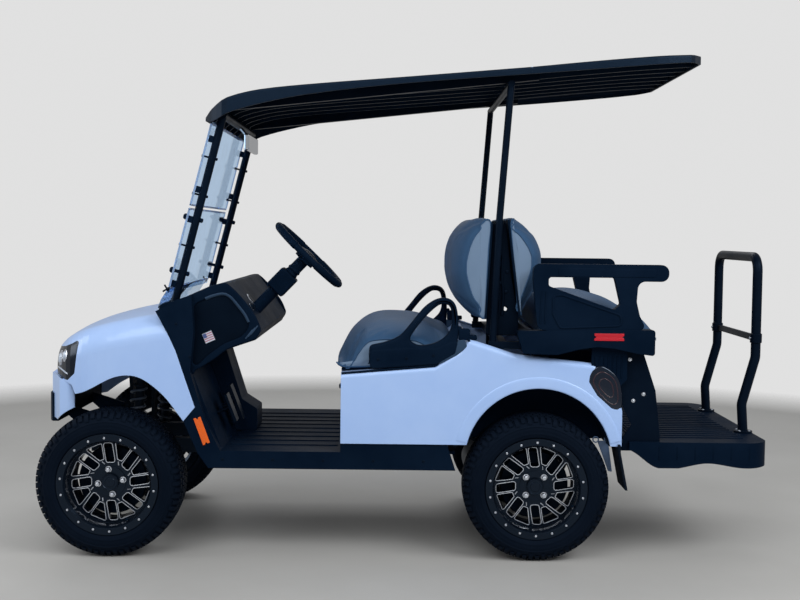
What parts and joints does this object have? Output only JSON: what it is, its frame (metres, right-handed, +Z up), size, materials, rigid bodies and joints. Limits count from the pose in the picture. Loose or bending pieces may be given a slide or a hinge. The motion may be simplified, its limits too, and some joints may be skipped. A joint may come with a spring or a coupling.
{
  "type": "golf cart",
  "caption": "Golf cart with a roof, folding windscreen, front bench and a rear-facing bench that flips over into a cargo deck with a step.",
  "frame": {"origin": "middle of the overall length and width, on the ground under the tyres", "axes": "+X forward, +Y to the driver's left, +Z up"},
  "size_m": [2.9874, 1.235, 2.0304],
  "materials": {
    "battery_case": "matte",
    "black_plastic": "fine grain, matte",
    "black_steel": "black powder coat",
    "body_paint": "glossy pale blue-white",
    "cast_grey": "cast and machined",
    "flap_rubber": "moulded rubber",
    "lamp_lens": "clear lens over a bright reflector",
    "mirror_glass": "mirror with a black shell",
    "red_lens": "red lens",
    "reflector_lens": "amber reflector",
    "roof_shell": "moulded, fine grain",
    "screen_glass": "clear, pale blue tint",
    "seat_cover": "grained vinyl with piped seams",
    "tread_plate": "raised tread pattern",
    "tyre": "black rubber",
    "wheel_alloy": "gloss black with bright machined faces",
    "zinc_steel": "zinc plated"
  },
  "bodies": {
    "chassis": {"arch_liners": "black_plastic", "back_shells": "black_plastic", "backrests": "seat_cover", "bagwell": "black_plastic", "battery_pack": "battery_case", "bumper_skin": "body_paint", "bumper_strip": "black_plastic", "centre_console": "black_plastic", "cross_members": "black_steel", "dashboard": "black_plastic", "floor_pan": "black_plastic", "frame_rails": "black_steel", "front_cowl": "body_paint", "front_subframe": "black_steel", "front_suspension": "black_steel", "grab_hoop": "black_steel", "headlamps": "lamp_lens", "hip_restraints": "black_plastic", "leaf_springs": "black_steel", "mirror": "mirror_glass", "mud_flaps": "flap_rubber", "pedals": "black_steel", "pillar_reflectors": "reflector_lens", "rail_reflectors": "red_lens", "rear_arms": "black_plastic", "rear_axle": "cast_grey", "rear_body": "body_paint", "rear_posts": "black_steel", "rear_seat_frame": "black_steel", "rear_step": "black_plastic", "rear_trim": "black_plastic", "roof_frame": "black_steel", "roof_front": "roof_shell", "roof_rear": "roof_shell", "screen_clips": "black_plastic", "screen_frame": "black_steel", "screen_panes": "screen_glass", "seat_hinges": "black_steel", "shock_towers": "black_steel", "side_panels": "black_plastic", "steering_column": "black_plastic", "step_frame": "black_steel", "tail_lamps": "red_lens", "tow_plate": "black_steel"},
    "front_seat": {"front_cushion": "seat_cover", "front_seat_pan": "black_plastic"},
    "rear_seat": {"rear_cushion": "seat_cover", "rear_seat_deck": "tread_plate"},
    "steering_hand_wheel": {"steering_wheel": "black_plastic"},
    "rack": {"steering_rack": "zinc_steel"},
    "knuckle_l": {"knuckle_left": "cast_grey"},
    "knuckle_r": {"knuckle_right": "cast_grey"},
    "wheel_front_left": {"rim_front_left": "wheel_alloy", "tyre_front_left": "tyre"},
    "wheel_front_right": {"rim_front_right": "wheel_alloy", "tyre_front_right": "tyre"},
    "wheel_rear_left": {"rim_rear_left": "wheel_alloy", "tyre_rear_left": "tyre"},
    "wheel_rear_right": {"rim_rear_right": "wheel_alloy", "tyre_rear_right": "tyre"}
  },
  "joints": [
    {"name": "steer_left", "type": "hinge", "parent": "chassis", "child": "knuckle_l", "pos_m": [1.17125, 0.455, 0.292], "axis": [0, 0, 1], "range_deg": [-30, 30]},
    {"name": "steer_right", "type": "hinge", "parent": "chassis", "child": "knuckle_r", "pos_m": [1.17125, -0.455, 0.292], "axis": [0, 0, 1], "range_deg": [-30, 30]},
    {"name": "rack_slide", "type": "slide", "parent": "chassis", "child": "rack", "axis": [0, 1, 0], "range_m": [-0.05, 0.05]},
    {"name": "steering_wheel_turn", "type": "hinge", "parent": "chassis", "child": "steering_hand_wheel", "pos_m": [0.404, 0.27, 1.203], "axis": [-0.6947, 0, 0.7193], "range_deg": [-430, 430]},
    {"name": "spin_front_left", "type": "hinge", "parent": "knuckle_l", "child": "wheel_front_left", "pos_m": [1.17125, 0.515, 0.292], "axis": [0, 1, 0], "continuous": true},
    {"name": "spin_front_right", "type": "hinge", "parent": "knuckle_r", "child": "wheel_front_right", "pos_m": [1.17125, -0.515, 0.292], "axis": [0, 1, 0], "continuous": true},
    {"name": "spin_rear_left", "type": "hinge", "parent": "chassis", "child": "wheel_rear_left", "pos_m": [-0.52875, 0.515, 0.292], "axis": [0, 1, 0], "continuous": true},
    {"name": "spin_rear_right", "type": "hinge", "parent": "chassis", "child": "wheel_rear_right", "pos_m": [-0.52875, -0.515, 0.292], "axis": [0, 1, 0], "continuous": true},
    {"name": "front_seat_tilt", "type": "hinge", "parent": "chassis", "child": "front_seat", "pos_m": [0.25825, 0, 0.75], "axis": [0, 1, 0], "range_deg": [0, 40]},
    {"name": "rear_seat_flip", "type": "hinge", "parent": "chassis", "child": "rear_seat", "pos_m": [-0.965, 0, 0.8855], "axis": [0, -1, 0], "range_deg": [0, 180]}
  ],
  "couplings": [
    {"joint": "steer_right", "follows": "steer_left", "ratio": 1},
    {"joint": "rack_slide", "follows": "steer_left", "m_per_rad": -0.0925},
    {"joint": "steering_wheel_turn", "follows": "steer_left", "ratio": 14}
  ]
}
